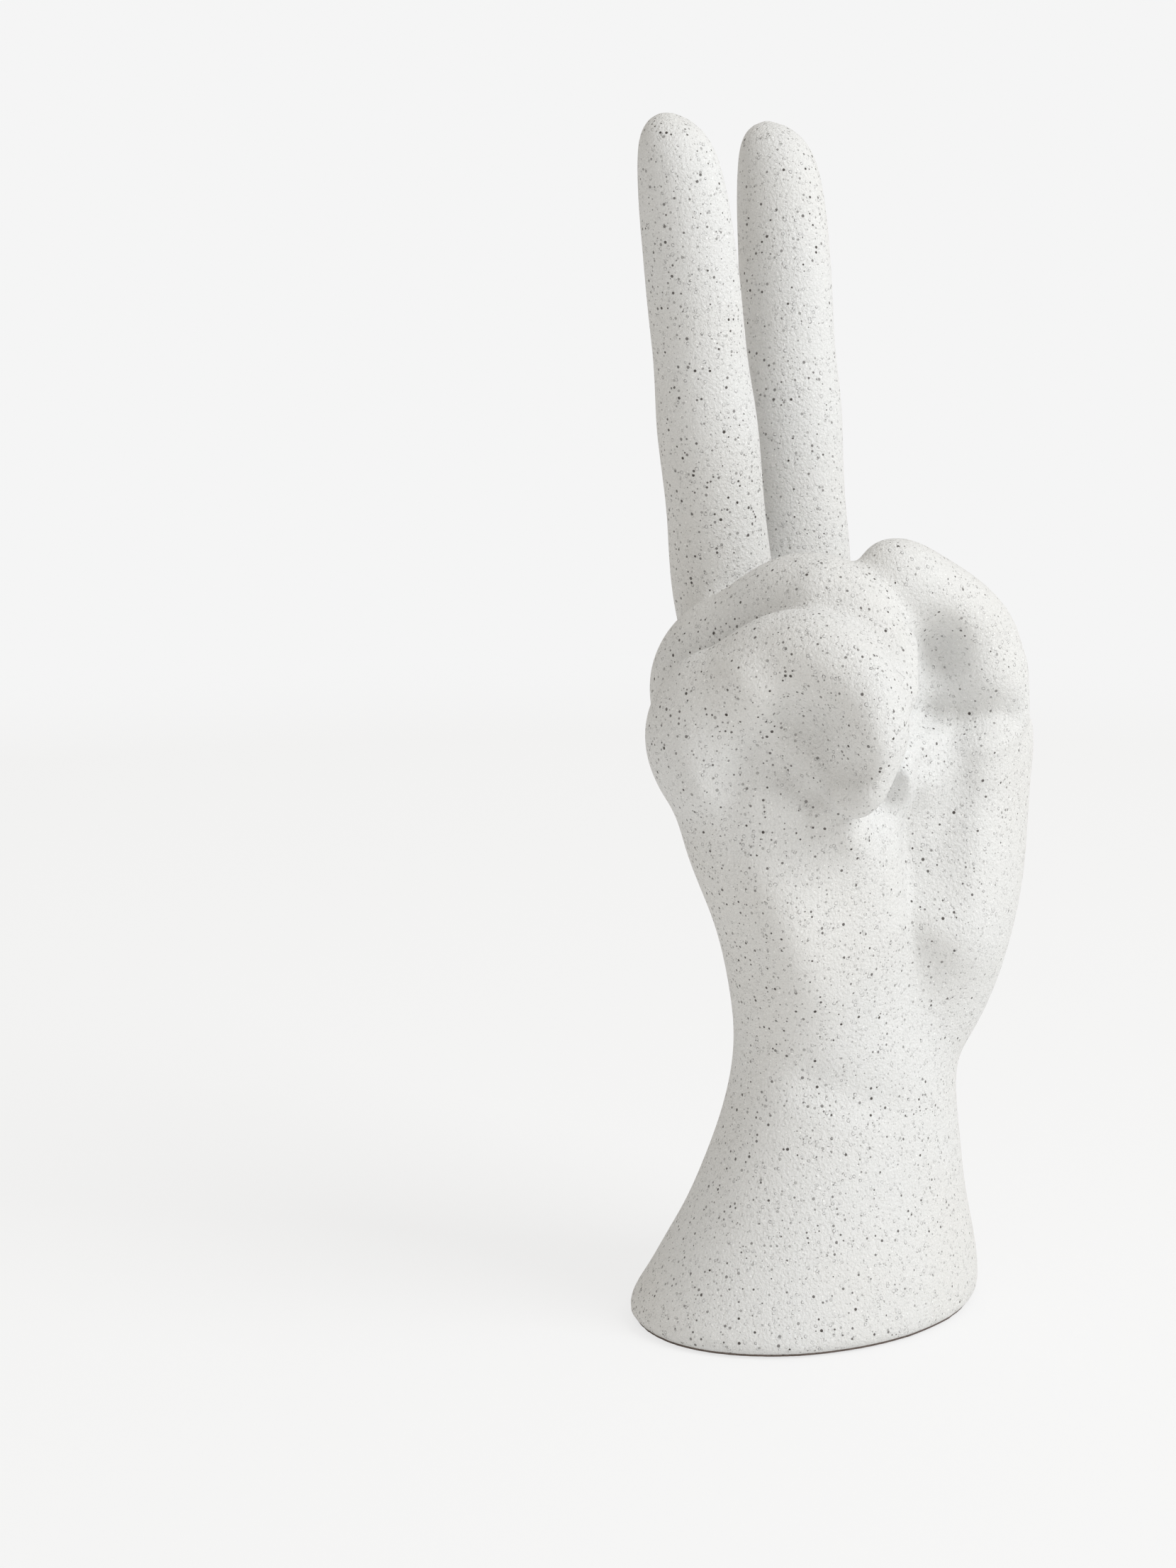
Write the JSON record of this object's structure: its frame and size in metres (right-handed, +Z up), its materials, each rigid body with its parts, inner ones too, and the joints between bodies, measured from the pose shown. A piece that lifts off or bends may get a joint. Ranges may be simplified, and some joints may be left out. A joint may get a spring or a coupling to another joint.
{
  "type": "hand sculpture",
  "caption": "Life-size speckled stoneware right hand with the index and middle finger raised and the thumb folded over the palm, standing on its flared forearm",
  "frame": {"origin": "middle of the flat foot, on the underside of the felt, at table height", "axes": "+Z up along the raised fingers, +Y out of the back of the hand, +X towards the thumb"},
  "size_m": [0.0875, 0.0828, 0.25],
  "materials": {
    "stoneware": "matt unglazed off-white body with fine dark speckles",
    "felt": "dense dark felt",
    "adhesive": "thin cloudy adhesive film"
  },
  "bodies": {
    "root": {"hand_casting": "stoneware", "felt_pad": "felt", "pad_adhesive": "adhesive"}
  },
  "joints": []
}
